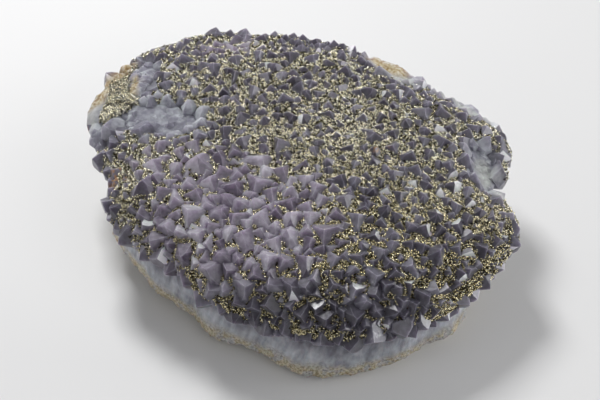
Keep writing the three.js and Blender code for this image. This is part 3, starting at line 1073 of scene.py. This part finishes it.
def grains_object(name, spots, sizes, draw):
    """Octahedra of pyrite as one mesh."""
    count = len(spots)
    sides = len(OCTAHEDRON_FACES)
    shapes = sizes[:, None] * draw.uniform(*GRAIN_STRETCH, (count, 3))
    stretched = OCTAHEDRON[None] * shapes[:, None, :]
    corners = np.einsum("nij,nkj->nki", random_turns(draw, count), stretched)
    corners = kept_in_box(corners + spots[:, None, :])
    faces = OCTAHEDRON_FACES[None] + len(OCTAHEDRON) * np.arange(count)[:, None, None]
    grain_tones = np.repeat(draw.uniform(0, 1, count), sides)
    facet_tones = draw.uniform(0, 1, count * sides)
    mesh = bpy.data.meshes.new(name)
    mesh.vertices.add(count * len(OCTAHEDRON))
    mesh.vertices.foreach_set("co", (corners * MM).astype(np.float32).ravel())
    mesh.loops.add(count * sides * 3)
    mesh.loops.foreach_set("vertex_index", faces.astype(np.int32).ravel())
    mesh.polygons.add(count * sides)
    mesh.polygons.foreach_set("loop_start", np.arange(count * sides, dtype=np.int32) * 3)
    give(mesh, "tone", "FACE", between(grain_tones, facet_tones, FACET_TONE))
    mesh.update(calc_edges=True)
    mesh.validate()
    piece = bpy.data.objects.new(name, mesh)
    bpy.context.scene.collection.objects.link(piece)
    return piece


def pyrite_material():
    """Brass-yellow metal, each grain a little lighter or darker, and a deeper gold at the front."""
    look = Look("pyrite_grains")
    parts = look.node("ShaderNodeSeparateXYZ", {"Vector": look.place()})
    behind = look.share(parts.outputs["Y"], *[edge * MM for edge in GOLD_FADES])
    in_front = look.maths("SUBTRACT", 1.0, behind)
    # Random tone per grain; its near-black end is painted shade in the gaps between grains
    pale = look.colour("pyrite", look.value("tone"))
    look.feed(look.principled, {
        "Base Color": look.mix(in_front, pale, PYRITE_GOLD, "MULTIPLY"),
        "Metallic": 1,
        "Roughness": 0.27,
    })
    return look.material


def make_pyrite(quartz):
    """The grains, shared out among one piece for each crust of the solid model."""
    surface = BVHTree.FromObject(quartz, bpy.context.evaluated_depsgraph_get())
    spots, sizes, draw = pyrite_spots(surface)
    crusts = sorted(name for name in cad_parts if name.startswith("pyrite"))
    middles = np.array([(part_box(name)[0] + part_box(name)[1]) / 2 for name in crusts]) / MM
    nearest = np.argmin(np.linalg.norm(spots[:, None, :] - middles[None], axis=2), axis=1)
    material = pyrite_material()
    for i, crust in enumerate(crusts):
        mine = nearest == i
        piece = grains_object(crust.replace("pyrite", "grains"), spots[mine], sizes[mine], draw)
        piece.data.materials.append(material)
        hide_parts(crust)
        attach(piece, ROOT_BODY)


def make_stage():
    """A plain pale floor."""
    bpy.ops.mesh.primitive_plane_add(size=FLOOR_SIZE)
    floor = bpy.context.object
    floor.name = "floor"
    look = Look("floor")
    look.feed(look.principled, {"Base Color": FLOOR_COLOUR, "Roughness": 0.6})
    floor.data.materials.append(look.material)


def area_light(name, place, size, power):
    data = bpy.data.lights.new(name, "AREA")
    data.energy = power
    data.shape = "RECTANGLE"
    data.size, data.size_y = size
    light = bpy.data.objects.new(name, data)
    light.location = place
    light.rotation_euler = (Vector(LIT_SPOT) - Vector(place)).to_track_quat("-Z", "Y").to_euler()
    bpy.context.scene.collection.objects.link(light)


def make_light():
    """Soft studio light."""
    world = bpy.data.worlds.new("studio")
    world.use_nodes = True
    world.node_tree.nodes["Background"].inputs["Color"].default_value = SKY_COLOUR
    world.node_tree.nodes["Background"].inputs["Strength"].default_value = SKY_STRENGTH
    bpy.context.scene.world = world
    for light in LIGHTS:
        area_light(*light)


def make_camera():
    """The photograph's view: from the front, 48 degrees above the horizon."""
    elevation = math.radians(CAMERA_ELEVATION)
    back = Vector((0, -math.cos(elevation), math.sin(elevation)))
    data = bpy.data.cameras.new("camera")
    data.lens = CAMERA_LENS
    data.sensor_width = CAMERA_SENSOR
    camera = bpy.data.objects.new("camera", data)
    target = Vector(CAMERA_TARGET) * MM
    camera.location = target + back * CAMERA_DISTANCE * MM
    camera.rotation_euler = (-back).to_track_quat("-Z", "Y").to_euler()
    bpy.context.scene.collection.objects.link(camera)
    bpy.context.scene.camera = camera


make_camera()
make_stage()
make_light()
make_pyrite(make_quartz())
bpy.context.scene.view_settings.view_transform = "Standard"
